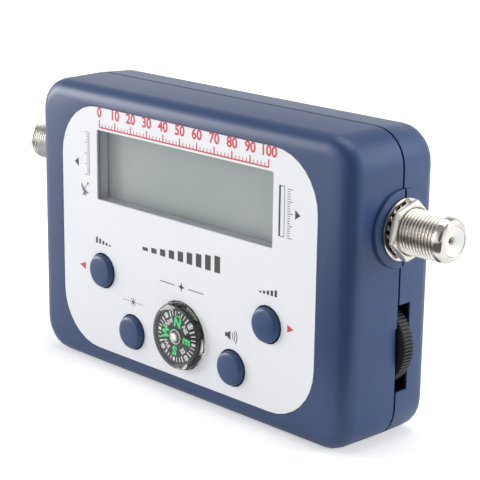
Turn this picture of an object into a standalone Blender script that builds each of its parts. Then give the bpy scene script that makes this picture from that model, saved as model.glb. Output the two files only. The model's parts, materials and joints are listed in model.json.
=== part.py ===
"""Satellite signal meter for Blender 4.5: a two-shell pocket case with an F connector at each
end, a display, four push buttons, a small compass and a sensitivity thumbwheel.

Run it with blender --background --python part.py, or from the text editor. Every dimension
below is in millimetres and the helpers turn them into metres. The meter stands on its long
bottom edge: X is its width, the front with the display faces -Y, +Z is up, and the origin is
the middle of the bottom face.
"""

from math import cos, pi, radians, sin

import bmesh
import bpy
from mathutils import Vector

MM = 0.001
FIT = 0.3  # gap between neighbouring pieces
DEEP = 6.0  # how far a cutter runs past the wall it opens
FINE = 24  # sides of the larger turned pieces
MEDIUM = 18
COARSE = 12

# Case
CASE_WIDTH = 99.0
CASE_HEIGHT = 65.5
CASE_DEPTH = 25.0
CORNER_RADIUS = 7.5
FRONT_ROUND = 3.4
BACK_ROUND = 3.0
WALL = 2.0
FRONT_DRAFT = 0.28
BACK_DRAFT = 0.42
PARTING_Y = 1.9
PARTING_GAP = 0.56
TONGUE_INSET = 1.25
TONGUE_REACH = 1.4

HALF_WIDTH = CASE_WIDTH / 2
FRONT_Y = -CASE_DEPTH / 2
BACK_Y = CASE_DEPTH / 2
FRONT_EDGE_Y = PARTING_Y - PARTING_GAP / 2
BACK_EDGE_Y = PARTING_Y + PARTING_GAP / 2
FRONT_INSIDE_Y = FRONT_Y + WALL
BACK_INSIDE_Y = BACK_Y - WALL
FLANGE_Y = FRONT_INSIDE_Y + FIT  # front of every flange that sits behind the front wall

# Label and the clear pane behind its window
LABEL_SIZE = (80.6, 56.5)
LABEL_CENTRE = (-0.28, 32.7)
LABEL_CORNER = 12.3
LABEL_THICKNESS = 0.3
LABEL_POCKET_Y = FRONT_Y + LABEL_THICKNESS + FIT
WINDOW_SIZE = (55.9, 16.0)
WINDOW_CENTRE = (-0.3, 47.8)
WINDOW_CORNER = 0.4
PANE_MARGIN = 3.4
PANE_THICKNESS = 0.4
PANE_FRONT_Y = LABEL_POCKET_Y + 0.05
PANE_BACK_Y = PANE_FRONT_Y + PANE_THICKNESS

# Display stack behind the window
FRAME_RIM = 1.5
FRAME_RIM_Y = PANE_BACK_Y + FIT + 0.05
FRAME_SIZE = (67.0, 26.0)
FRAME_BACK_Y = -4.7
GLASS_SIZE = (62.0, 22.0)
GLASS_FRONT_Y = -8.9
GLASS_BACK_Y = -7.1
BACKLIGHT_SIZE = (57.0, 19.2)
BACKLIGHT_LED = (1.9, 3.2)
CONTACT_STRIP_HEIGHT = 1.5

# Main board
BOARD_FRONT_Y = -4.0
BOARD_BACK_Y = -2.4
BOARD_HALF_WIDTH = 44.5
BOARD_LOW_Z = 4.6
BOARD_HIGH_Z = 61.0
BOARD_NOTCH = (5.6, 6.2)
BOARD_SCREWS = [(-33.0, 7.5), (33.0, 7.5), (-39.0, 32.0), (39.0, 32.0)]
CHIP_HEIGHT = 1.4
CHIP_EDGE = 0.25
BEFORE_BOARD_Y = BOARD_FRONT_Y - FIT
ON_BOARD_Y = BOARD_BACK_Y + FIT

# Push buttons
BUTTONS = {
    "attenuator_left": (-26.5, 23.3),
    "light": (-16.2, 11.1),
    "buzzer": (16.2, 11.1),
    "attenuator_right": (26.5, 23.3),
}
BUTTON_TRAVEL = 0.5
BUTTON_HOLE_RADIUS = 4.2
CAP_RADIUS = 3.9
CAP_FRONT_Y = FRONT_Y - 1.35
CAP_EDGE = 0.8
CAP_ROOF_Y = FRONT_Y + 1.3
CAP_FLANGE_RADIUS = 5.0
CAP_FLANGE = 0.8
SWITCH_SIDE = 6.0
SWITCH_FRONT_Y = -7.8
PLUNGER_RADIUS = 1.7

# Compass
COMPASS_AT = (0.0, 0.0, 14.35)
COMPASS_RADIUS = 7.6
COMPASS_RIM_Y = -12.2
COMPASS_FLOOR_Y = -9.5
DOME_SHOULDER_Y = -13.45
DOME_TOP_Y = -15.1
DOME_WALL = 0.6
CARD_RADIUS = 6.1
CARD_FRONT_Y = -12.9
CARD_BACK_Y = -12.5

# F connectors, with distances along X from the middle of the case
CONNECTOR_AT = (0.0, 1.5, 46.0)
BARREL_ENDS = {"right": 62.9, "left": 66.4}
THREAD_RADIUS = 4.7
BARREL_HOLE_RADIUS = 5.0
INSULATOR_RADIUS = 3.1
INSULATOR_BORE = 0.8
CONTACT_RADIUS = 0.6
CONTACT_DEPTH = 1.8
FLANGE_RADIUS = 6.0
BOSS_RADIUS = 8.2
BOSS_HEIGHT = 0.7
BOSS_EDGE = 0.5
BOSS_FACE = HALF_WIDTH + BOSS_HEIGHT
WASHER_RADIUS = 6.4
WASHER_RING = 0.7
WASHER_TEETH = 18
WASHER_SPAN = (BOSS_FACE + 0.2, BOSS_FACE + 0.6)
NUT_ACROSS_FLATS = 11.0
NUT_SPAN = (BOSS_FACE + 1.3, BOSS_FACE + 2.8)
NUT_TURN = -104.0

# Thumbwheel and its potentiometer
WHEEL_AT = (41.95, 0.0, 20.3)
WHEEL_RADIUS = 9.3
WHEEL_FRONT_Y = 2.35
WHEEL_BACK_Y = 5.2
WHEEL_GROOVE = (3.2, 7.6)
WHEEL_RIBS = 76
RIB_DEPTH = 0.35
SLOT_Z = (11.0, 29.85)
SLOT_BACK_Y = 5.65
SLOT_LIP = 0.6  # thickness of the wall round the slot, which is hollowed behind
SLOT_HOLLOW = 1.6
POT_BODY_SIZE = 10.0
POT_BODY_BACK_Y = 1.5

# Thumb relief in the front shell beside the slot
RELIEF_TOP_Z = 25.0
RELIEF_BOTTOM_Z = 16.0
RELIEF_START_Y = -0.8
RELIEF_DEPTH = 0.3

# Screening can over the tuner, on the back of the board
CAN_HALF_WIDTH = 36.5
CAN_Z = (36.8, 56.5)
CAN_WALL = 0.5
CAN_BACK_Y = 5.4

# Case screws
CASE_SCREWS = [(-42.5, 7.2), (42.5, 7.2), (-42.5, 58.4), (42.5, 58.4)]
FRONT_POST_RADIUS = 3.0
FRONT_POST_BACK_Y = 1.2
BACK_POST_RADIUS = 3.5
BACK_POST_FRONT_Y = 1.7
HEAD_POCKET_RADIUS = 2.9
HEAD_POCKET_Y = 9.0
HEAD_RADIUS = 2.6
HEAD_HEIGHT = 1.7
SHANK_RADIUS = 1.2
SCREW_TIP_Y = -4.7


def clear_scene():
    for obj in list(bpy.data.objects):
        bpy.data.objects.remove(obj, do_unlink=True)


def new_collection(name):
    collection = bpy.data.collections.new(name)
    bpy.context.scene.collection.children.link(collection)
    return collection


def principled(name, colour, roughness, metallic=0.0, alpha=1.0):
    material = bpy.data.materials.new(name)
    material.use_nodes = True
    shader = material.node_tree.nodes["Principled BSDF"]
    shader.inputs["Base Color"].default_value = (*colour, 1.0)
    shader.inputs["Roughness"].default_value = roughness
    shader.inputs["Metallic"].default_value = metallic
    shader.inputs["Alpha"].default_value = alpha
    return material


clear_scene()
METER = new_collection("satellite_signal_meter")
TOOLS = new_collection("shaping_tools")

NAVY = principled("navy_plastic", (0.018, 0.043, 0.120), 0.42)
NAVY_CAP = principled("navy_button", (0.016, 0.038, 0.108), 0.38)
BLACK = principled("black_plastic", (0.012, 0.012, 0.013), 0.45)
LABEL_WHITE = principled("label_white", (0.78, 0.79, 0.82), 0.5)
CLEAR = principled("clear_plastic", (0.9, 0.93, 0.95), 0.08, alpha=0.25)
GREY = principled("grey_plastic", (0.22, 0.23, 0.26), 0.5)
LCD_GREEN = principled("display_glass", (0.33, 0.37, 0.35), 0.2)
LIGHT_GUIDE = principled("light_guide", (0.75, 0.8, 0.75), 0.4)
RUBBER = principled("conductive_rubber", (0.35, 0.12, 0.12), 0.8)
BOARD_GREEN = principled("circuit_board", (0.02, 0.16, 0.06), 0.5)
NICKEL = principled("nickel_plate", (0.72, 0.69, 0.64), 0.22, metallic=1.0)
BRASS = principled("brass", (0.78, 0.58, 0.28), 0.3, metallic=1.0)
STEEL = principled("zinc_plated_steel", (0.6, 0.6, 0.6), 0.35, metallic=1.0)
TIN = principled("tinned_steel", (0.7, 0.7, 0.68), 0.4, metallic=1.0)
WHITE = principled("white_plastic", (0.85, 0.85, 0.84), 0.4)


def place(obj, material, parent=None):
    """Files an object as a piece of the meter, or as a cutter where it has no material."""
    if material is None:
        TOOLS.objects.link(obj)
        obj.display_type = "WIRE"
        obj.hide_render = True
    else:
        METER.objects.link(obj)
        obj.data.materials.append(material)
    if parent is not None:
        obj.location -= parent.location
        obj.parent = parent
    return obj


def pivot(name, at):
    """An empty on a joint's axis or at a mounting point, which pieces hang from."""
    empty = bpy.data.objects.new(name, None)
    empty.empty_display_size = 5 * MM
    empty.location = Vector(at) * MM
    METER.objects.link(empty)
    return empty


def sharp_smooth(mesh):
    mesh.shade_smooth()
    mesh.set_sharp_from_angle(angle=radians(35))


def around(centre, size):
    """The range of a given size round a centre."""
    return (centre - size / 2, centre + size / 2)


def area(centre, size, margin=0.0):
    """The ranges along X and Z of a rectangle on the front, widened by a margin."""
    return [around(middle, length + 2 * margin) for middle, length in zip(centre, size)]


def block(name, x, y, z, material=None, rounding=0.0, parent=None):
    """A box from its ranges along the three axes, with rounded edges if asked."""
    centre = Vector([(low + high) / 2 for low, high in (x, y, z)])
    size = Vector([abs(high - low) for low, high in (x, y, z)])
    bm = bmesh.new()
    bmesh.ops.create_cube(bm, size=1.0)
    bmesh.ops.scale(bm, vec=size * MM, verts=bm.verts)
    mesh = bpy.data.meshes.new(name)
    bm.to_mesh(mesh)
    bm.free()
    obj = bpy.data.objects.new(name, mesh)
    obj.location = centre * MM
    if rounding:
        bevel = obj.modifiers.new("round", "BEVEL")
        bevel.width = rounding * MM
        bevel.segments = 1
        sharp_smooth(mesh)
    return place(obj, material, parent)


def turned(name, axis, profile, at, material=None, steps=MEDIUM, ring=False, parent=None):
    """Turns a profile of (radius, distance along the axis) points round the X or Y axis.

    The outer side runs from the greater distance to the smaller. A ring's profile is closed.
    """
    if axis == "Y":
        points = [(0.0, along, radius) for radius, along in profile]
    else:
        points = [(along, radius, 0.0) for radius, along in profile]
    edges = [(i, i + 1) for i in range(len(points) - 1)]
    if ring:
        edges.append((len(points) - 1, 0))
    mesh = bpy.data.meshes.new(name)
    mesh.from_pydata([Vector(point) * MM for point in points], edges, [])
    obj = bpy.data.objects.new(name, mesh)
    obj.location = Vector(at) * MM
    screw = obj.modifiers.new("turn", "SCREW")
    screw.axis = axis
    screw.angle = 2 * pi
    screw.steps = steps
    screw.render_steps = steps
    screw.use_merge_vertices = True
    screw.merge_threshold = 1e-6
    screw.use_smooth_shade = True
    return place(obj, material, parent)


def rod(name, axis, radius, span, at, material=None, steps=MEDIUM, parent=None):
    low, high = span
    profile = [(0, high), (radius, high), (radius, low), (0, low)]
    return turned(name, axis, profile, at, material, steps, parent=parent)


def sheet(name, outlines, span, material=None, axis="Y", at=(0, 0, 0), parent=None):
    """Extrudes flat outlines along the X or Y axis over a span. Outlines after the first are holes.

    An outline's points are (x, z) on the Y axis and (y, z) on the X axis.
    """
    curve = bpy.data.curves.new(name, "CURVE")
    curve.dimensions = "2D"
    curve.fill_mode = "BOTH"
    curve.extrude = (span[1] - span[0]) / 2 * MM
    for outline in outlines:
        spline = curve.splines.new("POLY")
        spline.points.add(len(outline) - 1)
        for point, (across, up) in zip(spline.points, outline):
            point.co = (across * MM, up * MM, 0.0, 1.0)
        spline.use_cyclic_u = True
    flat = bpy.data.objects.new(name, curve)
    middle = (span[0] + span[1]) / 2
    offset = (0, middle, 0) if axis == "Y" else (middle, 0, 0)
    flat.location = (Vector(at) + Vector(offset)) * MM
    flat.rotation_euler = (pi / 2, 0.0, 0.0 if axis == "Y" else pi / 2)
    TOOLS.objects.link(flat)
    return as_mesh(flat, material, parent)


def as_mesh(flat, material, parent):
    """Replaces a curve object by its mesh, with the loose caps welded on."""
    bpy.context.view_layer.update()
    evaluated = flat.evaluated_get(bpy.context.evaluated_depsgraph_get())
    mesh = bpy.data.meshes.new_from_object(evaluated)
    bm = bmesh.new()
    bm.from_mesh(mesh)
    bmesh.ops.remove_doubles(bm, verts=bm.verts, dist=1e-6)
    bm.to_mesh(mesh)
    bm.free()
    sharp_smooth(mesh)
    name, curve, world = flat.name, flat.data, flat.matrix_world.copy()
    bpy.data.objects.remove(flat)
    bpy.data.curves.remove(curve)
    obj = bpy.data.objects.new(name, mesh)
    obj.matrix_world = world
    return place(obj, material, parent)


def combine(target, operation, others):
    """Joins or cuts a piece with a group of others in one exact Boolean."""
    group = bpy.data.collections.new(f"{target.name}_{operation.lower()}")
    TOOLS.children.link(group)
    for other in others:
        group.objects.link(other)
    modifier = target.modifiers.new(group.name, "BOOLEAN")
    modifier.operation = operation
    modifier.solver = "EXACT"
    modifier.operand_type = "COLLECTION"
    modifier.collection = group


def cut(target, *others):
    combine(target, "DIFFERENCE", others)


def fuse(target, *others):
    combine(target, "UNION", others)


def join_flat_faces(obj):
    """Joins the coplanar faces that Booleans leave."""
    modifier = obj.modifiers.new("join_flat_faces", "DECIMATE")
    modifier.decimate_type = "DISSOLVE"
    modifier.angle_limit = radians(0.3)


def arc(centre, radius, start, end, steps):
    """Points on an arc given in degrees, both ends included."""
    angles = [radians(start + (end - start) * i / steps) for i in range(steps + 1)]
    return [(centre[0] + radius * cos(a), centre[1] + radius * sin(a)) for a in angles]


def circle(radius, centre=(0.0, 0.0), steps=MEDIUM):
    return arc(centre, radius, 0, 360 - 360 / steps, steps - 1)


def rounded_rectangle(x, z, radius, steps=6):
    """An outline round the ranges x and z, its corners drawn as arcs."""
    left, right = x[0] + radius, x[1] - radius
    low, high = z[0] + radius, z[1] - radius
    outline = []
    for centre, start in (((right, high), 0), ((left, high), 90), ((left, low), 180), ((right, low), 270)):
        outline += arc(centre, radius, start, start + 90, steps)
    return outline


def case_outline(inset):
    """The case's outline at the parting line, drawn in by an inset."""
    x = (inset - HALF_WIDTH, HALF_WIDTH - inset)
    return rounded_rectangle(x, (inset, CASE_HEIGHT - inset), CORNER_RADIUS - inset)


def shell(name, edge_y, end_y, rounding, draft):
    """One half of the case: a drafted block with rounded edges, open at the parting line."""
    bm = bmesh.new()
    bmesh.ops.create_cube(bm, size=2.0)
    for vert in bm.verts:
        at_end = (vert.co.y > 0) == (end_y > 0)
        inset = draft if at_end else 0.0
        vert.co.x *= (HALF_WIDTH - inset) * MM
        vert.co.y = (end_y if at_end else edge_y) * MM
        vert.co.z = (CASE_HEIGHT - inset) * MM if vert.co.z > 0 else 0.0

    def lies_at(element, y):
        return all(abs(vert.co.y - y * MM) < 1e-6 for vert in element.verts)

    corners = [edge for edge in bm.edges if not lies_at(edge, edge_y) and not lies_at(edge, end_y)]
    bmesh.ops.bevel(
        bm, geom=corners, offset=CORNER_RADIUS * MM, segments=6, profile=0.5, affect="EDGES"
    )
    rim = [edge for edge in bm.edges if lies_at(edge, end_y)]
    bmesh.ops.bevel(bm, geom=rim, offset=rounding * MM, segments=4, profile=0.5, affect="EDGES")
    mouth = [face for face in bm.faces if lies_at(face, edge_y)]
    bmesh.ops.delete(bm, geom=mouth, context="FACES_ONLY")
    mesh = bpy.data.meshes.new(name)
    bm.to_mesh(mesh)
    bm.free()
    obj = place(bpy.data.objects.new(name, mesh), NAVY)
    wall = obj.modifiers.new("wall", "SOLIDIFY")
    wall.thickness = WALL * MM
    wall.offset = -1.0
    wall.use_even_offset = True
    sharp_smooth(mesh)
    return obj


def boss_discs():
    """The raised round pads on the side faces that the connectors' washers bear on."""
    edge = arc((BOSS_RADIUS - BOSS_EDGE, BOSS_FACE - BOSS_EDGE), BOSS_EDGE, 90, 0, 2)
    root = HALF_WIDTH - WALL / 2
    profile = [(0, BOSS_FACE), *edge, (BOSS_RADIUS, root), (0, root)]
    right = turned("boss_disc_right", "X", profile, CONNECTOR_AT, steps=FINE)
    left = turned("boss_disc_left", "X", profile, CONNECTOR_AT, steps=FINE)
    left.rotation_euler.z = pi
    return right, left


def connector_holes():
    """One rod across the case, which opens both side walls round the connectors."""
    reach = HALF_WIDTH + DEEP
    return rod("connector_holes", "X", BARREL_HOLE_RADIUS, (-reach, reach), CONNECTOR_AT)


def thumb_relief():
    """A block whose inner face slants into the side of the front shell, deepest at its edge."""
    across = RELIEF_DEPTH / (FRONT_EDGE_Y - RELIEF_START_Y)
    along = RELIEF_DEPTH / (RELIEF_TOP_Z - RELIEF_BOTTOM_Z)
    outward = Vector((1.0, across, along))
    side = 30.0
    tool = block("thumb_relief", (0, side), around(0, side), (-side, 0))
    for vert in tool.data.vertices:
        vert.co += tool.location
    tool.location = Vector((HALF_WIDTH, RELIEF_START_Y, RELIEF_TOP_Z)) * MM
    tool.rotation_euler = outward.to_track_quat("X", "Z").to_euler()
    return tool


def front_openings():
    """The cutters for the label, the window, the buttons and the compass."""
    label_x, label_z = area(LABEL_CENTRE, LABEL_SIZE, FIT / 2)
    pocket = rounded_rectangle(label_x, label_z, LABEL_CORNER + FIT / 2, 8)
    before = FRONT_Y - DEEP
    through = (before, FRONT_INSIDE_Y + 0.5)
    pane_x, pane_z = area(WINDOW_CENTRE, WINDOW_SIZE, PANE_MARGIN + FIT)
    open_x, open_z = area(WINDOW_CENTRE, WINDOW_SIZE, FRAME_RIM + FIT)
    pane_y = (before, PANE_BACK_Y + FIT)
    tools = [
        sheet("label_pocket", [pocket], (before, LABEL_POCKET_Y)),
        block("pane_pocket", pane_x, pane_y, pane_z),
        block("window_opening", open_x, through, open_z),
        rod("compass_hole", "Y", COMPASS_RADIUS + FIT, through, COMPASS_AT, steps=FINE),
    ]
    for name, (x, z) in BUTTONS.items():
        tools.append(rod(f"{name}_hole", "Y", BUTTON_HOLE_RADIUS, through, (x, 0, z)))
    return tools


def make_front_case(discs, holes):
    case = shell("front_case", FRONT_EDGE_Y, FRONT_Y, FRONT_ROUND, FRONT_DRAFT)
    in_wall = FRONT_INSIDE_Y - WALL / 4
    posts, pilots = [], []
    for i, (x, z) in enumerate(CASE_SCREWS):
        at = (x, 0, z)
        span = (in_wall, FRONT_POST_BACK_Y)
        posts.append(rod(f"front_post_{i}", "Y", FRONT_POST_RADIUS, span, at, steps=COARSE))
        pilots.append(rod(f"front_pilot_{i}", "Y", SHANK_RADIUS + FIT, (-6, DEEP), at, steps=8))
    for i, (x, z) in enumerate(BOARD_SCREWS):
        at = (x, 0, z)
        span = (in_wall, BEFORE_BOARD_Y)
        posts.append(rod(f"board_post_{i}", "Y", 2.4, span, at, steps=COARSE))
        pilots.append(rod(f"board_pilot_{i}", "Y", 1.1, (-8, DEEP), at, steps=8))
    fuse(case, *discs, *posts)

    wide = around(0, CASE_WIDTH + 2 * DEEP)
    tall = (-DEEP, CASE_HEIGHT + DEEP)
    behind = block("behind_parting", wide, (FRONT_EDGE_Y, BACK_Y + DEEP), tall)
    rebate_y = (FRONT_EDGE_Y - TONGUE_REACH, FRONT_EDGE_Y + DEEP)
    rings = [case_outline(TONGUE_INSET - FIT), case_outline(WALL + 1)]
    rebate = sheet("tongue_rebate", rings, rebate_y)
    cut(case, behind, rebate, thumb_relief(), holes, *pilots, *front_openings())
    join_flat_faces(case)


def make_back_case(discs, holes):
    case = shell("back_case", BACK_EDGE_Y, BACK_Y, BACK_ROUND, BACK_DRAFT)
    fuse(case, *discs)
    wide = around(0, CASE_WIDTH + 2 * DEEP)
    tall = (-DEEP, CASE_HEIGHT + DEEP)
    cut(case, block("before_parting", wide, (FRONT_Y - DEEP, BACK_EDGE_Y), tall))

    tongue_y = (FRONT_EDGE_Y - TONGUE_REACH + FIT, BACK_EDGE_Y + 1)
    rings = [case_outline(TONGUE_INSET), case_outline(WALL - 0.05)]
    posts, bores = [sheet("tongue", rings, tongue_y)], []
    outside = BACK_Y + DEEP
    bore = [(0, outside), (HEAD_POCKET_RADIUS, outside), (HEAD_POCKET_RADIUS, HEAD_POCKET_Y)]
    bore += [(SHANK_RADIUS + 0.4, HEAD_POCKET_Y), (SHANK_RADIUS + 0.4, -DEEP), (0, -DEEP)]
    for i, (x, z) in enumerate(CASE_SCREWS):
        at = (x, 0, z)
        span = (BACK_POST_FRONT_Y, BACK_INSIDE_Y + WALL / 4)
        posts.append(rod(f"back_post_{i}", "Y", BACK_POST_RADIUS, span, at, steps=COARSE))
        bores.append(turned(f"screw_bore_{i}", "Y", bore, at, steps=COARSE))
    fuse(case, *posts)
    slot_x = around(HALF_WIDTH, 2 * DEEP)
    slot = block("wheel_slot", slot_x, (FRONT_EDGE_Y - DEEP, SLOT_BACK_Y), SLOT_Z)
    hollow_x = (HALF_WIDTH - SLOT_LIP - DEEP, HALF_WIDTH - SLOT_LIP)
    hollow_y = (FRONT_EDGE_Y - DEEP, SLOT_BACK_Y + SLOT_HOLLOW)
    hollow_z = (SLOT_Z[0] - SLOT_HOLLOW / 2, SLOT_Z[1] + SLOT_HOLLOW / 2)
    cut(case, holes, slot, block("slot_hollow", hollow_x, hollow_y, hollow_z), *bores)
    join_flat_faces(case)


def make_case_screw(number, at):
    """A pan head screw from the back, with a cross recess."""
    seat = HEAD_POCKET_Y + FIT
    top = seat + HEAD_HEIGHT
    head = [(0, top), (1.6, top), (2.2, top - 0.3), (HEAD_RADIUS, top - 0.9), (HEAD_RADIUS, seat)]
    shank = [(SHANK_RADIUS, seat), (SHANK_RADIUS, SCREW_TIP_Y + 1.2), (0.3, SCREW_TIP_Y), (0, SCREW_TIP_Y)]
    screw = turned(f"case_screw_{number}", "Y", head + shank, at, STEEL, COARSE)
    cross = []
    for quarter in range(4):
        for radius, angle in ((1.5, -9), (1.5, 9), (0.5, 45)):
            turn = radians(90 * quarter + angle)
            cross.append((radius * cos(turn), radius * sin(turn)))
    cut(screw, sheet(f"cross_recess_{number}", [cross], (top - 0.9, top + 1), at=at))


def make_label_and_pane():
    outlines = [
        rounded_rectangle(*area(LABEL_CENTRE, LABEL_SIZE), LABEL_CORNER, 8),
        rounded_rectangle(*area(WINDOW_CENTRE, WINDOW_SIZE), WINDOW_CORNER, 2),
    ]
    outlines += [circle(BUTTON_HOLE_RADIUS, at) for at in BUTTONS.values()]
    outlines.append(circle(COMPASS_RADIUS + 0.25, (COMPASS_AT[0], COMPASS_AT[2]), FINE))
    sheet("front_label", outlines, (FRONT_Y, FRONT_Y + LABEL_THICKNESS), LABEL_WHITE)
    pane_x, pane_z = area(WINDOW_CENTRE, WINDOW_SIZE, PANE_MARGIN)
    block("display_window", pane_x, (PANE_FRONT_Y, PANE_BACK_Y), pane_z, CLEAR)


def make_display():
    """The frame that holds the glass behind the window, the backlight and the contact strip."""
    window_x, window_z = area(WINDOW_CENTRE, WINDOW_SIZE)
    frame_x, frame_z = area(WINDOW_CENTRE, FRAME_SIZE)
    frame = block("lcd_frame", frame_x, (FLANGE_Y, FRAME_BACK_Y), frame_z, GREY)
    rim_x, rim_z = area(WINDOW_CENTRE, WINDOW_SIZE, FRAME_RIM)
    fuse(frame, block("frame_rim", rim_x, (FRAME_RIM_Y, FLANGE_Y + 1), rim_z))
    pocket_x, pocket_z = area(WINDOW_CENTRE, GLASS_SIZE, FIT)
    cut(frame, block("glass_pocket", pocket_x, (GLASS_FRONT_Y - FIT, 0), pocket_z))
    cut(frame, block("frame_opening", window_x, (FRONT_Y, -DEEP), window_z))

    glass_x, glass_z = area(WINDOW_CENTRE, GLASS_SIZE)
    block("lcd_glass", glass_x, (GLASS_FRONT_Y, GLASS_BACK_Y), glass_z, LCD_GREEN)
    behind_glass = GLASS_BACK_Y + FIT
    strip_z = (glass_z[0], glass_z[0] + CONTACT_STRIP_HEIGHT)
    strip_x = around(WINDOW_CENTRE[0], BACKLIGHT_SIZE[0])
    block("contact_strip", strip_x, (behind_glass, BEFORE_BOARD_Y), strip_z, RUBBER)
    light_y = (behind_glass, FRAME_BACK_Y)
    light_z = (strip_z[1] + FIT, strip_z[1] + FIT + BACKLIGHT_SIZE[1])
    block("lcd_backlight", strip_x, light_y, light_z, LIGHT_GUIDE)
    led_x, led_z = BACKLIGHT_LED
    for side, beside in (("left", strip_x[0] - FIT - led_x / 2), ("right", strip_x[1] + FIT + led_x / 2)):
        led_z_range = around(WINDOW_CENTRE[1], led_z)
        block(f"backlight_led_{side}", around(beside, led_x), light_y, led_z_range, WHITE)


def make_board():
    """The main board with its corners notched for the case posts, and the parts on its back."""
    x, z = BOARD_HALF_WIDTH, (BOARD_LOW_Z, BOARD_HIGH_Z)
    notch_x, notch_z = BOARD_NOTCH
    right = [(x, z[1] - notch_z), (x - notch_x, z[1] - notch_z), (x - notch_x, z[1])]
    low_right = [(x - notch_x, z[0]), (x - notch_x, z[0] + notch_z), (x, z[0] + notch_z)]
    left = [(-px, pz) for px, pz in reversed(right)]
    low_left = [(-px, pz) for px, pz in reversed(low_right)]
    holes = [circle(1.3, at, COARSE) for at in BOARD_SCREWS]
    outline = right + left + low_left + low_right
    sheet("main_board", [outline, *holes], (BOARD_FRONT_Y, BOARD_BACK_Y), BOARD_GREEN)

    chip_y = (ON_BOARD_Y, ON_BOARD_Y + CHIP_HEIGHT)
    block("controller_chip", (-20, -10), chip_y, (14, 24), BLACK, CHIP_EDGE)
    block("tuner_chip", (-5, 5), chip_y, (41, 51), BLACK, CHIP_EDGE)
    regulator_y = (ON_BOARD_Y, ON_BOARD_Y + 2.3)
    block("voltage_regulator", (22, 29), regulator_y, (25, 31), BLACK, CHIP_EDGE)
    can = [(0, 5.0), (2.7, 5.0), (3.1, 4.6), (3.1, ON_BOARD_Y), (0, ON_BOARD_Y)]
    turned("capacitor", "Y", can, (-29, 0, 15), BLACK, 16)
    sounder = [(0, 3.4), (0.9, 3.4), (0.9, 4.4), (5.6, 4.4), (6.0, 4.0), (6.0, ON_BOARD_Y), (0, ON_BOARD_Y)]
    turned("buzzer_sounder", "Y", sounder, (10, 0, 16), BLACK)
    head_y = ON_BOARD_Y + 1.2
    head = [(0, head_y), (1.4, head_y), (2.0, head_y - 0.6), (2.0, ON_BOARD_Y)]
    shank = [(0.8, ON_BOARD_Y), (0.8, -7.5), (0, -7.5)]
    for i, (x, z) in enumerate(BOARD_SCREWS):
        turned(f"board_screw_{i + 1}", "Y", head + shank, (x, 0, z), STEEL, COARSE)


def make_screening_can():
    """A fence soldered to the board and a lid that slips over it."""
    can_x = around(0, 2 * CAN_HALF_WIDTH)
    fence = block("tuner_screen", can_x, (ON_BOARD_Y, CAN_BACK_Y), CAN_Z, TIN)
    room_x = around(0, 2 * (CAN_HALF_WIDTH - CAN_WALL))
    room_z = (CAN_Z[0] + CAN_WALL, CAN_Z[1] - CAN_WALL)
    cut(fence, block("screen_room", room_x, (ON_BOARD_Y - 1, CAN_BACK_Y + 1), room_z))
    reach = (-CAN_HALF_WIDTH - DEEP, CAN_HALF_WIDTH + DEEP)
    cut(fence, rod("lead_holes", "X", 1.2, reach, CONNECTOR_AT, steps=COARSE))

    lip = FIT + CAN_WALL
    plate_y = CAN_BACK_Y + FIT
    lid_z = (CAN_Z[0] - lip, CAN_Z[1] + lip)
    lid_x = around(0, 2 * (CAN_HALF_WIDTH + lip))
    lid = block("tuner_screen_lid", lid_x, (plate_y - 2.0, plate_y + CAN_WALL), lid_z, TIN)
    room_x = around(0, 2 * (CAN_HALF_WIDTH + FIT))
    room_z = (CAN_Z[0] - FIT, CAN_Z[1] + FIT)
    cut(lid, block("lid_room", room_x, (plate_y - 3.0, plate_y), room_z))


def make_button(name, at):
    """A hollow cap with a retaining flange, and under it a tact switch with its plunger."""
    x, z = at
    axis = pivot(f"{name}_button_axis", (x, 0, z))
    bottom = FLANGE_Y + CAP_FLANGE
    roof = CAP_ROOF_Y
    rounded = arc((CAP_RADIUS - CAP_EDGE, CAP_FRONT_Y + CAP_EDGE + 0.1), CAP_EDGE, 0, -90, 2)
    inside = [(0, bottom), (2.2, bottom), (2.2, roof), (3.0, roof), (3.0, bottom)]
    rim = [(CAP_FLANGE_RADIUS, bottom), (CAP_FLANGE_RADIUS, FLANGE_Y), (CAP_RADIUS, FLANGE_Y)]
    outside = [*rim, *rounded, (0, CAP_FRONT_Y)]
    turned(f"{name}_button", "Y", inside + outside, axis_at(axis), NAVY_CAP, parent=axis)

    top = bottom + FIT
    rest = SWITCH_FRONT_Y + 0.9
    pin = [(0, rest), (PLUNGER_RADIUS, rest), (PLUNGER_RADIUS, top + 0.3)]
    pin += [(PLUNGER_RADIUS - 0.3, top), (0, top)]
    turned(f"{name}_plunger", "Y", pin, axis_at(axis), BLACK, COARSE, parent=axis)
    body_y = (SWITCH_FRONT_Y, BEFORE_BOARD_Y)
    body = block(f"{name}_switch", around(x, SWITCH_SIDE), body_y, around(z, SWITCH_SIDE), TIN)
    bore_y = (SWITCH_FRONT_Y - 2, rest + BUTTON_TRAVEL + FIT)
    cut(body, rod(f"{name}_switch_bore", "Y", PLUNGER_RADIUS + 0.35, bore_y, (x, 0, z), steps=COARSE))


def axis_at(axis):
    return axis.location / MM


def dome_side(radius, shoulder, shoulder_y, top_y):
    """Half the dome's section, from the top of its straight wall over the shoulder to the crown."""
    bend = arc((radius - shoulder, shoulder_y), shoulder, 0, -65, 2)
    rim_radius, rim_y = bend[-1]
    crown = [(rim_radius * f, top_y + (rim_y - top_y) * f * f) for f in (2 / 3, 1 / 3, 0)]
    return bend + crown


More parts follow.
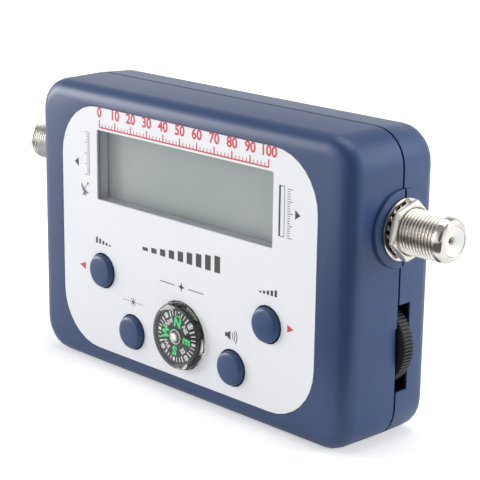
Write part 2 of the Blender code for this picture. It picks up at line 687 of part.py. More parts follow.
def make_compass():
    """A black cup with a clear dome over it, and in it the card turning on a pivot pin."""
    bore = COMPASS_RADIUS - 0.8
    back = [(0, -6.5), (7.0, -6.5), (7.6, -7.1), (7.6, FLANGE_Y + 1), (9.2, FLANGE_Y + 1), (9.2, FLANGE_Y)]
    front = [(COMPASS_RADIUS, FLANGE_Y), (COMPASS_RADIUS, COMPASS_RIM_Y), (bore, COMPASS_RIM_Y)]
    pin_seat = [(bore, COMPASS_FLOOR_Y), (0.6, COMPASS_FLOOR_Y), (0.6, -8.0), (0, -8.0)]
    turned("compass_base", "Y", back + front + pin_seat, COMPASS_AT, BLACK, FINE)

    rim_y = COMPASS_RIM_Y - FIT
    bowl = COMPASS_RADIUS - DOME_WALL
    outside = dome_side(COMPASS_RADIUS, 1.0, DOME_SHOULDER_Y, DOME_TOP_Y)
    inside = dome_side(bowl, 0.5, DOME_SHOULDER_Y + 0.1, DOME_TOP_Y + DOME_WALL)
    section = [*reversed(inside), (bowl, rim_y), (COMPASS_RADIUS, rim_y), *outside]
    turned("compass_dome", "Y", section, COMPASS_AT, CLEAR, FINE)

    axis = pivot("compass_card_axis", COMPASS_AT)
    card = [(CARD_RADIUS, CARD_BACK_Y), (CARD_RADIUS, CARD_FRONT_Y), (1.0, CARD_FRONT_Y), (1.0, CARD_BACK_Y)]
    turned("compass_card", "Y", card, COMPASS_AT, BLACK, FINE, ring=True, parent=axis)
    magnet_y = CARD_BACK_Y + FIT
    magnet = [(3.4, magnet_y + 0.9), (3.4, magnet_y), (1.3, magnet_y), (1.3, magnet_y + 0.9)]
    turned("compass_magnet", "Y", magnet, COMPASS_AT, STEEL, 16, ring=True, parent=axis)
    seat = CARD_FRONT_Y - FIT
    roof = seat - 0.55
    cap = [(0, roof), (0.6, roof), (0.6, seat), (1.7, seat), (1.7, seat - 0.3), (1.05, seat - 0.3)]
    cap += [(1.05, seat - 0.75), (0.7, seat - 0.95), (0, seat - 1.0)]
    turned("compass_bearing", "Y", cap, COMPASS_AT, BRASS, COARSE, parent=axis)
    tip = roof + FIT
    pin = [(0, -8.3), (0.3, -8.3), (0.3, tip + 0.5), (0, tip)]
    turned("compass_pivot_pin", "Y", pin, COMPASS_AT, STEEL, 8)


def make_nut(name, mount):
    """A hex nut whose outer corners are turned down to a chamfer."""
    corner = NUT_ACROSS_FLATS / 2 / cos(pi / 6)
    hexagon = arc((0, 0), corner, NUT_TURN, NUT_TURN + 300, 5)
    bore = circle(THREAD_RADIUS + 0.25)
    nut = sheet(name, [hexagon, bore], NUT_SPAN, NICKEL, "X", CONNECTOR_AT, mount)
    back, face = NUT_SPAN
    flat = NUT_ACROSS_FLATS / 2
    blank = [(0, face + 0.2), (flat - 0.05, face + 0.2), (corner + 0.2, face - 0.6)]
    blank += [(corner + 0.2, back - 1), (0, back - 1)]
    tool = turned(f"{name}_blank", "X", blank, CONNECTOR_AT, steps=24, parent=mount)
    combine(nut, "INTERSECT", [tool])


def make_washer(name, mount):
    """A lock washer with a ring of teeth pointing inwards."""
    pitch = 360 / WASHER_TEETH
    teeth = []
    for i in range(WASHER_TEETH):
        start = i * pitch
        teeth += arc((0, 0), THREAD_RADIUS + 0.3, start, start + 0.45 * pitch, 1)
        teeth += arc((0, 0), WASHER_RADIUS - WASHER_RING, start + 0.6 * pitch, start + 0.85 * pitch, 1)
    outlines = [circle(WASHER_RADIUS, steps=FINE), teeth]
    sheet(name, outlines, WASHER_SPAN, NICKEL, "X", CONNECTOR_AT, mount)


def make_connector(side):
    """A bulkhead F connector held by a hex nut and a lock washer, its lead running to the tuner."""
    mount = pivot(f"connector_mount_{side}", CONNECTOR_AT)
    end = BARREL_ENDS[side]
    inside = HALF_WIDTH - WALL - FIT - 0.05
    tail = inside - 3.6
    bore = INSULATOR_RADIUS + 0.2
    nose = [(bore, end), (3.75, end), (4.55, end - 0.95), (4.6, end - 1.7), (THREAD_RADIUS, end - 1.9)]
    flange = [(THREAD_RADIUS, inside), (FLANGE_RADIUS, inside), (FLANGE_RADIUS, inside - 1.9)]
    rear = [(3.6, inside - 1.9), (3.6, tail), (2.3, tail), (2.3, inside), (bore, inside)]
    turned(f"connector_barrel_{side}", "X", nose + flange + rear, CONNECTOR_AT, NICKEL, 24, True, mount)

    face = end - 0.05
    hole = INSULATOR_BORE
    plug = [(hole + 0.15, face), (INSULATOR_RADIUS, face), (INSULATOR_RADIUS, inside + FIT)]
    plug += [(2.0, inside + FIT), (2.0, tail - 0.2), (hole, tail - 0.2), (hole, face - 0.2)]
    turned(f"connector_insulator_{side}", "X", plug, CONNECTOR_AT, WHITE, 16, True, mount)

    mouth = end - CONTACT_DEPTH
    lead_end = CAN_HALF_WIDTH - 3
    lead = [(0, mouth - 2.0), (0.35, mouth - 2.0), (0.35, mouth), (CONTACT_RADIUS, mouth)]
    lead += [(CONTACT_RADIUS, lead_end), (0, lead_end)]
    turned(f"connector_contact_{side}", "X", lead, CONNECTOR_AT, BRASS, 10, parent=mount)
    make_washer(f"connector_lock_washer_{side}", mount)
    make_nut(f"connector_nut_{side}", mount)
    if side == "left":
        mount.rotation_euler.z = pi


def make_thumbwheel():
    """The potentiometer on the board, its shaft, and the ribbed wheel that stands out of the slot."""
    x, _, z = WHEEL_AT
    body_y = (ON_BOARD_Y, POT_BODY_BACK_Y)
    body = block("potentiometer", around(x, POT_BODY_SIZE), body_y, around(z, POT_BODY_SIZE), BLACK, 0.4)
    cut(body, rod("shaft_bore", "Y", 2.3, (-0.6, DEEP), WHEEL_AT, steps=16))

    axis = pivot("thumbwheel_axis", WHEEL_AT)
    shoulder = WHEEL_FRONT_Y - FIT
    shaft = [(0, 2.6), (0.8, 2.6), (0.8, WHEEL_BACK_Y - FIT), (1.5, WHEEL_BACK_Y - FIT)]
    shaft += [(1.5, shoulder), (2.0, shoulder), (2.0, -FIT), (0, -FIT)]
    turned("potentiometer_shaft", "Y", shaft, WHEEL_AT, WHITE, COARSE, parent=axis)

    pitch = 360 / WHEEL_RIBS
    rim = []
    for i in range(WHEEL_RIBS):
        rim += arc((0, 0), WHEEL_RADIUS, i * pitch, i * pitch, 1)[:1]
        rim += arc((0, 0), WHEEL_RADIUS - RIB_DEPTH, (i + 0.5) * pitch, (i + 0.5) * pitch, 1)[:1]
    faces = (WHEEL_FRONT_Y, WHEEL_BACK_Y)
    wheel = sheet("thumbwheel", [rim, circle(1.8, steps=16)], faces, BLACK, "Y", WHEEL_AT, axis)
    grooves = []
    for face, low in (("front", WHEEL_FRONT_Y - 1), ("back", WHEEL_BACK_Y - 0.6)):
        hub, rim_inside = WHEEL_GROOVE
        groove = [(rim_inside, low + 1.6), (rim_inside, low), (hub, low), (hub, low + 1.6)]
        grooves.append(turned(f"{face}_groove", "Y", groove, WHEEL_AT, None, MEDIUM, True, axis))
    cut(wheel, *grooves)
    join_flat_faces(wheel)

    head = WHEEL_BACK_Y + FIT
    screw = [(0, head + 0.9), (1.9, head + 0.9), (2.2, head + 0.6), (2.2, head)]
    screw += [(0.5, head), (0.5, 2.9), (0, 2.9)]
    turned("thumbwheel_screw", "Y", screw, WHEEL_AT, STEEL, COARSE, parent=axis)


def make_meter():
    discs = boss_discs()
    holes = connector_holes()
    make_front_case(discs, holes)
    make_back_case(discs, holes)
    for i, (x, z) in enumerate(CASE_SCREWS):
        make_case_screw(i + 1, (x, 0, z))
    make_label_and_pane()
    make_display()
    make_board()
    make_screening_can()
    for name, at in BUTTONS.items():
        make_button(name, at)
    make_compass()
    for side in BARREL_ENDS:
        make_connector(side)
    make_thumbwheel()


make_meter()
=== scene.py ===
import json
from math import cos, pi, radians, sin

import bmesh
import bpy
from mathutils import Matrix, Vector


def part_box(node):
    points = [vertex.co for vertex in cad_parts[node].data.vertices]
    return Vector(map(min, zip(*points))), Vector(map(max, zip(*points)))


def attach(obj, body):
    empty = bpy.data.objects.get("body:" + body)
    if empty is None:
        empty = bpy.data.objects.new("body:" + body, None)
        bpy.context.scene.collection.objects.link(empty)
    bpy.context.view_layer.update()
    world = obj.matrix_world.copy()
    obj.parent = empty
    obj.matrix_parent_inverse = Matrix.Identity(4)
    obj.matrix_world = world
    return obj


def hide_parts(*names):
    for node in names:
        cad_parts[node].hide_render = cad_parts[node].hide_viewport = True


MM = 0.001

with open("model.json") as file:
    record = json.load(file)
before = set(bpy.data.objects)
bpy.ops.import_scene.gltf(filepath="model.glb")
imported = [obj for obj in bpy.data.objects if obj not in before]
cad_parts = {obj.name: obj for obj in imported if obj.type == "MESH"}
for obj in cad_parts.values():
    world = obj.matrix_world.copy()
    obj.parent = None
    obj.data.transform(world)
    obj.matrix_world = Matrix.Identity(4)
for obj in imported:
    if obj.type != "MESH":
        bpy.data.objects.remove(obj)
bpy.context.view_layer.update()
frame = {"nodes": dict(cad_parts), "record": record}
NODES = frame["nodes"]

# Places and sizes that several sections share, in millimetres

CONNECTOR_Y, CONNECTOR_Z = 1.5, 46.0
THREAD_RADIUS = 4.7
THREAD_DEPTH = 0.46
INK_LIFT = 0.02
WELD_REACH = 0.002

# Edges sharper than this many degrees stay sharp
SHARP_ANGLE = 35.0


# Node helpers

def shader(name):
    """A new material, its node tree and its Principled shader."""
    mat = bpy.data.materials.new(name)
    mat.use_nodes = True
    return mat, mat.node_tree, mat.node_tree.nodes["Principled BSDF"]


def dull(name, level):
    """A plain grey material with no gloss, its node tree and its shader."""
    mat, tree, bsdf = shader(name)
    bsdf.inputs["Base Color"].default_value = (level, level, level, 1.0)
    bsdf.inputs["Specular IOR Level"].default_value = 0.0
    return mat, tree, bsdf


def add(tree, kind, **values):
    """A shader node of a kind, with its settings and its inputs' values given by name."""
    node = tree.nodes.new("ShaderNode" + kind)
    for key, value in values.items():
        if hasattr(node, key):
            setattr(node, key, value)
        else:
            node.inputs[key.replace("_", " ")].default_value = value
    return node


def noise(tree, scale, detail=3.0, roughness=0.5, axes=(1, 1, 1)):
    """A noise with a scale per millimetre; an axis factor under 1 draws its marks out along that axis."""
    coords = add(tree, "TexCoord")
    mapping = add(tree, "Mapping")
    mapping.inputs["Scale"].default_value = [factor / MM for factor in axes]
    tree.links.new(coords.outputs["Object"], mapping.inputs["Vector"])
    node = add(tree, "TexNoise", Scale=scale, Detail=detail, Roughness=roughness)
    tree.links.new(mapping.outputs["Vector"], node.inputs["Vector"])
    return node.outputs["Fac"]


def ramp(tree, source, low, high, start=0.0, stop=1.0):
    """A colour ramp from low at start to high at stop; a number stands for a grey."""
    node = add(tree, "ValToRGB")
    for element, position, colour in zip(node.color_ramp.elements, (start, stop), (low, high)):
        if isinstance(colour, (int, float)):
            colour = (colour,) * 3
        element.position = position
        element.color = (*colour, 1.0)
    tree.links.new(source, node.inputs["Fac"])
    return node.outputs["Color"]


def spread(tree, source, target, low, high, start=0.3, stop=0.7):
    """Drives an input by a noise, from a low to a high value."""
    tree.links.new(ramp(tree, source, low, high, start, stop), target)


def bump(tree, bsdf, heights):
    """Stacks bumps from (height socket, strength, distance in millimetres)."""
    last = None
    for height, strength, distance in heights:
        node = add(tree, "Bump", Strength=strength, Distance=distance * MM)
        tree.links.new(height, node.inputs["Height"])
        if last is not None:
            tree.links.new(last.outputs["Normal"], node.inputs["Normal"])
        last = node
    tree.links.new(last.outputs["Normal"], bsdf.inputs["Normal"])


def scaled(colour, factor):
    """A colour made darker or lighter, at most to white."""
    return tuple(min(1.0, c * factor) for c in colour)


def smooth_step(tree, source, low, high):
    """0 below a low value and 1 above a high one, with a soft step between them."""
    node = add(tree, "MapRange", interpolation_type="SMOOTHSTEP")
    node.inputs["From Min"].default_value = low
    node.inputs["From Max"].default_value = high
    tree.links.new(source, node.inputs["Value"])
    return node.outputs["Result"]


def blend(tree, factor, start, end):
    """A value that runs from start to end by a factor; either end may be a socket."""
    node = add(tree, "MapRange")
    tree.links.new(factor, node.inputs["Value"])
    for key, value in (("To Min", start), ("To Max", end)):
        if isinstance(value, (int, float)):
            node.inputs[key].default_value = value
        else:
            tree.links.new(value, node.inputs[key])
    return node.outputs["Result"]


def by_ray(tree, lit, mirrored, seen):
    """One value for plain lighting, one for mirrored rays and one for what is seen, also through glass."""
    path = add(tree, "LightPath")
    first = blend(tree, path.outputs["Is Glossy Ray"], lit, mirrored)
    through = add(tree, "Math", operation="MAXIMUM")
    tree.links.new(path.outputs["Is Camera Ray"], through.inputs[0])
    tree.links.new(path.outputs["Is Transmission Ray"], through.inputs[1])
    return blend(tree, through.outputs[0], first, seen)


# Materials

def moulded(name, colour, roughness, grain=0.12, vary=0.05, grain_scale=4.0, specular=0.5, coat=0.0):
    """Moulded plastic: a slight drift of colour, and a fine spark-eroded grain in gloss and height."""
    mat, tree, bsdf = shader(name)
    broad = noise(tree, scale=0.06, detail=4.0)
    fine = noise(tree, grain_scale, detail=2.0, roughness=0.6)
    gloss_range = 0.04
    spread(tree, broad, bsdf.inputs["Base Color"], scaled(colour, 1 - vary), scaled(colour, 1 + vary))
    spread(tree, fine, bsdf.inputs["Roughness"], roughness - gloss_range, roughness + gloss_range)
    bsdf.inputs["Specular IOR Level"].default_value = specular
    bsdf.inputs["Coat Weight"].default_value = coat
    bsdf.inputs["Coat Roughness"].default_value = 0.12
    bump(tree, bsdf, [(fine, grain, 0.02), (broad, 0.1, 0.3)])
    return mat


def metal(name, colour, roughness, vary=0.06, brushed=(1, 1, 1), scratch=0.05):
    """Plated or bare metal with faint cloudiness and fine tool marks."""
    mat, tree, bsdf = shader(name)
    broad = noise(tree, scale=0.35, detail=4.0)
    marks = noise(tree, scale=3.0, roughness=0.6, axes=brushed)
    gloss_range = 0.06
    spread(tree, broad, bsdf.inputs["Base Color"], scaled(colour, 1 - vary), scaled(colour, 1 + vary))
    spread(tree, marks, bsdf.inputs["Roughness"], roughness - gloss_range, roughness + gloss_range)
    bsdf.inputs["Metallic"].default_value = 1.0
    bump(tree, bsdf, [(marks, scratch, 0.01)])
    return mat


def paint_root_shade(mat, root, unshaded_radius, shade):
    """Painted shade: darkens a metal's colour towards a root radius round the connectors' axis, where less
    light reaches into a thread.
    """
    tree = mat.node_tree
    base = tree.nodes["Principled BSDF"].inputs["Base Color"]
    coords = add(tree, "TexCoord")
    spot = add(tree, "VectorMath", operation="SUBTRACT")
    spot.inputs[1].default_value = (0.0, CONNECTOR_Y * MM, CONNECTOR_Z * MM)
    tree.links.new(coords.outputs["Object"], spot.inputs[0])
    flat = add(tree, "VectorMath", operation="MULTIPLY")
    flat.inputs[1].default_value = (0.0, 1.0, 1.0)
    tree.links.new(spot.outputs["Vector"], flat.inputs[0])
    radius = add(tree, "VectorMath", operation="LENGTH")
    tree.links.new(flat.outputs["Vector"], radius.inputs[0])
    height = smooth_step(tree, radius.outputs["Value"], root * MM, unshaded_radius * MM)
    mixed = add(tree, "Mix", data_type="RGBA", blend_type="MULTIPLY")
    mixed.inputs["Factor"].default_value = 1.0
    tree.links.new(base.links[0].from_socket, mixed.inputs["A"])
    tree.links.new(ramp(tree, height, shade, 1.0), mixed.inputs["B"])
    tree.links.new(mixed.outputs["Result"], base)


def clear(name, tint, ior, roughness):
    """Clear plastic with faint moulding swirls and a few hairlines in its gloss."""
    mat, tree, bsdf = shader(name)
    swirl = noise(tree, scale=0.4, detail=2.0)
    hairlines = noise(tree, scale=1.2, detail=5.0, roughness=0.7, axes=(1, 1, 6))
    bsdf.inputs["Base Color"].default_value = (*tint, 1.0)
    bsdf.inputs["Transmission Weight"].default_value = 1.0
    bsdf.inputs["IOR"].default_value = ior
    spread(tree, hairlines, bsdf.inputs["Roughness"], roughness, roughness + 0.02, 0.55, 0.8)
    bump(tree, bsdf, [(swirl, 0.02, 0.05)])
    return mat


def ink(name, colour):
    """Screen-printed ink: slightly uneven density and a fine grain."""
    mat, tree, bsdf = shader(name)
    fine = noise(tree, scale=5.0, detail=2.0, roughness=0.6)
    spread(tree, fine, bsdf.inputs["Base Color"], scaled(colour, 0.9), scaled(colour, 1.1), 0.35, 0.65)
    bsdf.inputs["Roughness"].default_value = 0.45
    bump(tree, bsdf, [(fine, 0.06, 0.01)])
    return mat


def display_glass():
    """Liquid crystal glass: grey-green, with a slow drift of tone and of gloss."""
    mat, tree, bsdf = shader("liquid_crystal_glass")
    broad = noise(tree, scale=0.03, detail=2.0)
    dark, light = (0.292, 0.326, 0.318), (0.315, 0.345, 0.338)
    spread(tree, broad, bsdf.inputs["Base Color"], dark, light, 0.35, 0.65)
    spread(tree, broad, bsdf.inputs["Roughness"], 0.2, 0.26, 0.35, 0.65)
    return mat


NAVY = moulded(
    "navy_case_plastic", (0.020, 0.050, 0.140), roughness=0.38, grain=0.16, grain_scale=5.0, specular=0.55
)
NAVY_CAP = moulded("navy_button_plastic", (0.023, 0.056, 0.150), roughness=0.34, grain=0.08, grain_scale=5.0)
BLACK = moulded("black_moulded_plastic", (0.012, 0.012, 0.013), roughness=0.42, vary=0.1)
WHEEL_BLACK = moulded(
    "black_wheel_plastic", (0.02, 0.02, 0.02), roughness=0.5, grain=0.2, vary=0.15, grain_scale=6.0
)
CARD_BLACK = moulded("black_card_enamel", (0.008, 0.008, 0.009), roughness=0.35, grain=0.05, vary=0.1)
LABEL_WHITE = moulded(
    "label_film", (0.83, 0.84, 0.875), roughness=0.38, grain=0.05, vary=0.012, grain_scale=6.0
)
GREY = moulded("grey_frame_plastic", (0.42, 0.42, 0.475), roughness=0.5, grain=0.1)
WHITE = moulded("white_insulator_plastic", (0.80, 0.80, 0.79), roughness=0.35, grain=0.03, vary=0.01)
LIGHT_GUIDE = moulded("milky_light_guide", (0.7, 0.74, 0.7), roughness=0.35, grain=0.03, vary=0.03)
RUBBER = moulded("contact_rubber", (0.3, 0.12, 0.11), roughness=0.75, grain=0.2, vary=0.1)
BOARD = moulded(
    "green_solder_mask", (0.02, 0.14, 0.05), roughness=0.4, grain=0.15, vary=0.15, grain_scale=2.0, coat=0.5
)
NICKEL = metal("bright_nickel", (0.78, 0.745, 0.69), roughness=0.16, vary=0.05, brushed=(0.4, 1, 1))
NUT_NICKEL = metal("satin_nickel", (0.84, 0.80, 0.73), roughness=0.42, brushed=(1, 1, 0.3), scratch=0.15)
BRASS = metal("contact_brass", (0.78, 0.56, 0.25), roughness=0.28)
STEEL = metal("zinc_plated_steel", (0.62, 0.62, 0.6), roughness=0.3)
TIN = metal("tinned_sheet", (0.68, 0.68, 0.66), roughness=0.35)
CAP_METAL = metal("pale_cap_metal", (0.95, 0.89, 0.85), roughness=0.34)
BARREL_NICKEL = metal("threaded_nickel", (0.86, 0.83, 0.775), roughness=0.25, vary=0.05, brushed=(0.4, 1, 1))
# Painted shade in the thread's roots: darkest at the root radius, gone from 4.5 mm outwards
paint_root_shade(BARREL_NICKEL, root=THREAD_RADIUS - THREAD_DEPTH, unshaded_radius=4.5, shade=(0.36, 0.32, 0.28))
ACRYLIC = clear("clear_dome_acrylic", (0.97, 0.98, 0.98), ior=1.46, roughness=0.02)
PANE = clear("clear_window_film", (0.98, 0.99, 0.99), ior=1.2, roughness=0.0)
RED_INK = ink("red_ink", (0.62, 0.055, 0.075))
DARK_INK = ink("dark_ink", (0.045, 0.046, 0.052))
GREEN_INK = ink("green_luminous_ink", (0.035, 0.80, 0.22))
WHITE_INK = ink("white_ink", (0.80, 0.80, 0.80))
GREY_INK = ink("grey_ink", (0.20, 0.205, 0.215))

MATERIAL_OF_SLOT = {
    "navy_plastic": NAVY,
    "navy_button": NAVY_CAP,
    "black_plastic": BLACK,
    "label_white": LABEL_WHITE,
    "clear_plastic": ACRYLIC,
    "grey_plastic": GREY,
    "display_glass": display_glass(),
    "light_guide": LIGHT_GUIDE,
    "conductive_rubber": RUBBER,
    "circuit_board": BOARD,
    "nickel_plate": NICKEL,
    "brass": BRASS,
    "zinc_plated_steel": STEEL,
    "tinned_steel": TIN,
    "white_plastic": WHITE,
}

# Nodes that look different from the rest of their slot
MATERIAL_OF_NODE = {
    "display_window": PANE,
    "thumbwheel": WHEEL_BLACK,
    "compass_card": CARD_BLACK,
    "compass_bearing": CAP_METAL,
}


def smooth_by_angle(obj):
    """Joins split corners, then shades smooth except over sharp edges."""
    weld = obj.modifiers.new("weld", "WELD")
    weld.merge_threshold = WELD_REACH * MM
    split = obj.modifiers.new("sharp", "EDGE_SPLIT")
    split.split_angle = radians(SHARP_ANGLE)
    obj.data.polygons.foreach_set("use_smooth", [True] * len(obj.data.polygons))


def dress_nodes():
    """Gives every node of the record its material and its shading."""
    for entry in frame["record"]["subparts"]:
        name = entry["node"]
        node = NODES[name]
        node.data.materials.clear()
        node.data.materials.append(MATERIAL_OF_NODE.get(name, MATERIAL_OF_SLOT[entry["material_slot"]]))
        smooth_by_angle(node)


# Shape helpers

def piece(name, bm, material, body, sharp=SHARP_ANGLE):
    """Makes a piece that rides on a body, smooth except over sharp edges."""
    mesh = bpy.data.meshes.new(name)
    bm.to_mesh(mesh)
    bm.free()
    obj = bpy.data.objects.new(name, mesh)
    bpy.context.scene.collection.objects.link(obj)
    mesh.materials.append(material)
    mesh.shade_smooth()
    mesh.set_sharp_from_angle(angle=radians(sharp))
    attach(obj, body)
    return obj


def evenly(start, stop, steps):
    """Values from start to stop, both included, in equal steps."""
    return [start + (stop - start) * i / steps for i in range(steps + 1)]


def turns(steps, start=0.0):
    """Angles that go once round in equal steps."""
    return [start + 2 * pi * i / steps for i in range(steps)]


def about_y(x, z):
    """Places points round an axis along Y, with their depth in the case as the distance along it."""
    return lambda along, radius, angle: Vector((x + radius * cos(angle), along, z + radius * sin(angle)))


def about_connector(sign):
    """Places points round a connector's axis, with distances outwards from the middle of the case."""
    return lambda along, radius, angle: Vector(
        (sign * along, CONNECTOR_Y + sign * radius * cos(angle), CONNECTOR_Z + radius * sin(angle))
    )


def circle(bm, place, along, radii, angles):
    """A closed row of points round an axis, from one radius or from a radius for each angle."""
    if isinstance(radii, (int, float)):
        radii = [radii] * len(angles)
    return [bm.verts.new(place(along, radius, angle) * MM) for radius, angle in zip(radii, angles)]


def circles(bm, place, profile, angles):
    """A closed row of points for each (radius, distance) of a profile."""
    return [circle(bm, place, along, radius, angles) for radius, along in profile]


def join(bm, rows):
    """Faces between neighbouring closed rows of points; a row may be one point on the axis."""
    for one, two in zip(rows, rows[1:]):
        count = max(len(one), len(two))
        for i in range(count):
            j = (i + 1) % count
            quad = [one[i % len(one)], one[j % len(one)], two[j % len(two)], two[i % len(two)]]
            bm.faces.new(list(dict.fromkeys(quad)))


def face_outwards(bm):
    """Turns every face's normal to the outside."""
    bmesh.ops.recalc_face_normals(bm, faces=bm.faces)


def skin(bm, rows):
    """Faces between closed rows of points, the last joined to the first."""
    join(bm, rows + rows[:1])
    face_outwards(bm)


def rod(bm, rows):
    """Faces between closed rows of points, with both ends closed."""
    join(bm, rows)
    bm.faces.new(rows[-1])
    bm.faces.new(list(reversed(rows[0])))


def lathe(profile, place, steps=72, closed=False):
    """Turns (radius, distance) points about an axis; a closed profile ends where it starts."""
    bm = bmesh.new()
    angles = turns(steps)
    rows = []
    for radius, along in profile:
        rows.append(circle(bm, place, along, radius, angles if radius else [0.0]))
    if closed:
        rows.append(rows[0])
    join(bm, rows)
    face_outwards(bm)
    return bm


def shifted(profile, start, way=1):
    """A profile with its distances counted from a start, onwards or, with -1, backwards."""
    return [(radius, start + way * distance) for radius, distance in profile]


def middle_of(low, high):
    """The x and z of a box's middle, in millimetres."""
    return (low[0] + high[0]) / 2 / MM, (low[2] + high[2]) / 2 / MM


def poly(bm, points, y):
    """A flat face from (x, z) points at a depth y, facing the front."""
    face = bm.faces.new([bm.verts.new(Vector((x, y, z)) * MM) for x, z in points])
    face.normal_update()
    if face.normal.y > 0:
        face.normal_flip()


def rectangle(left, right, low, high):
    """A rectangle's corners, once round."""
    return [(left, low), (right, low), (right, high), (left, high)]


# Connectors: radii, and distances outwards from the middle of the case, in millimetres

PITCH = 0.81
CREST_RADIUS = THREAD_RADIUS - 0.03
SHANK_RADIUS = THREAD_RADIUS - 0.05
THREAD_START = 51.0
THREAD_SLICE = 0.06
FADE_IN, FADE_OUT = 0.3, 0.7
BARREL_STEPS = 96

# The plain back of the barrel, from its inner end: a tail in the case, and the flange
BORE_RADIUS = 2.3
BARREL_BACK = [(BORE_RADIUS, 0.0), (3.6, 0.0), (3.6, 1.7), (6.3, 1.7), (6.3, 3.6), (SHANK_RADIUS, 3.6)]

# The rounded nose and its lip, back from the tip, and the mouth behind it
NOSE_LENGTH = 1.75
NOSE = [(4.67, 1.65), (4.62, 1.4), (4.54, 1.1), (4.4, 0.72), (4.15, 0.38), (3.85, 0.17), (3.5, 0.04)]
NOSE += [(3.3, 0.0), (3.16, 0.02), (3.1, 0.1), (3.08, 0.2)]
MOUTH_RADIUS = 3.08
MOUTH_FLOOR = 3.0

# The insulator's funnel, back from its face
INSULATOR_SINK = 0.05
FUNNEL = [(0.8, 1.05), (0.86, 0.9), (1.05, 0.74), (2.1, 0.3), (2.8, 0.08), (2.95, 0.03)]
FUNNEL += [(3.04, 0.08), (3.06, 0.2)]

# The contact's two leaves: their section back from the tip, and their angles in degrees
LEAF_SECTION = [(0.76, 1.35), (0.76, 3.0), (0.55, 3.0), (0.45, 1.35)]
LEAF_MIDDLES = (90, 270)
LEAF_HALF_ANGLE = 74
LEAF_STEPS = 12

# The nut: share of its thickness, distance of the flats and radius of the turned chamfers there
NUT_RINGS = [
    (0.0, 5.5, 5.62),
    (0.08, 5.5, 5.9),
    (0.17, 5.5, 6.15),
    (0.27, 5.5, 6.4),
    (0.42, 5.49, 6.5),
    (0.58, 5.47, 6.5),
    (0.7, 5.43, 6.4),
    (0.8, 5.39, 6.15),
    (0.9, 5.34, 5.85),
    (1.0, 5.28, 5.5),
]
NUT_BORE = 4.75
NUT_STEPS = 144

# The angle of one of the nut's corners, in degrees
NUT_TURN = -104.0

# The lock washer; its teeth are given as shares of their pitch and as (radius, twist) from root to tip
WASHER_RADIUS, WASHER_INSIDE = 6.4, 5.7
WASHER_EDGE = 0.06
TEETH = 18
TOOTH_PHASE = 0.35
TOOTH_SHARE = 0.30
TOOTH_HALF_THICKNESS = 0.17
TOOTH_TWISTS = [(WASHER_INSIDE + 0.1, 0.03), (5.35, 0.2), (4.95, 0.32)]


def reach(name):
    """The nearest and the farthest distance of a connector's node from the middle of the case."""
    low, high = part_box(name)
    return sorted((abs(low[0]) / MM, abs(high[0]) / MM))


def clamp(value):
    """A value held between 0 and 1."""
    return min(1.0, max(0.0, value))


def thread_radius(along, angle, stop):
    """The barrel's radius on its thread: a rounded V that fades in at the start and out at the stop."""
    phase = (along / PITCH - angle / (2 * pi)) % 1.0
    from_root = abs(phase - 0.5) * 2
    depth = clamp(1.35 * (1 - from_root) - 0.12)
    rounded = depth * depth * (3 - 2 * depth)
    fade = clamp((along - THREAD_START) / FADE_IN) * clamp((stop - along) / FADE_OUT)
    return CREST_RADIUS - THREAD_DEPTH * rounded * fade


def make_barrel(side, tip, sign):
    """The plated barrel: a cut thread, a plain rounded nose and a thin lip round the insulator."""
    name = f"connector_barrel_{side}"
    inner = reach(name)[0]
    place = about_connector(sign)
    angles = turns(BARREL_STEPS)
    stop = tip - NOSE_LENGTH
    bm = bmesh.new()
    back = shifted(BARREL_BACK, inner) + [(SHANK_RADIUS, THREAD_START - 0.1)]
    rows = circles(bm, place, back, angles)
    for along in evenly(THREAD_START, stop, int((stop - THREAD_START) / THREAD_SLICE)):
        rows.append(circle(bm, place, along, [thread_radius(along, a, stop) for a in angles], angles))
    mouth = [(MOUTH_RADIUS, inner + MOUTH_FLOOR), (BORE_RADIUS, inner + MOUTH_FLOOR)]
    rows += circles(bm, place, shifted(NOSE, tip, -1) + mouth, angles)
    skin(bm, rows)
    for face in bm.faces:
        on_thread = THREAD_START * MM < abs(face.calc_center_median().x) < stop * MM
        face.material_index = 1 if on_thread else 0
    barrel = piece(f"threaded_{name}", bm, NICKEL, "meter", sharp=50)
    barrel.data.materials.append(BARREL_NICKEL)
    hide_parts(name)


def hexagon(angle, flat):
    """A hexagon's radius at an angle from one of its corners."""
    return flat / cos(angle % (pi / 3) - pi / 6)


def make_nut(side, sign):
    """A hex nut with turned chamfers on both faces, flats that draw in, and a countersunk thread."""
    name = f"connector_nut_{side}"
    back, face = reach(name)
    place = about_connector(sign)
    from_corner = turns(NUT_STEPS)
    angles = turns(NUT_STEPS, radians(NUT_TURN))
    bm = bmesh.new()
    rows = []
    for share, flat, limit in NUT_RINGS:
        radii = [min(limit, hexagon(a, flat)) for a in from_corner]
        rows.append(circle(bm, place, back + share * (face - back), radii, angles))
    bore = [(NUT_BORE + 0.3, face), (NUT_BORE, face - 0.22), (NUT_BORE, back + 0.2), (NUT_BORE + 0.25, back)]
    rows += circles(bm, place, bore, angles)
    skin(bm, rows)
    nut = piece(f"chamfered_{name}", bm, NUT_NICKEL, "meter", sharp=24)
    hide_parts(name)


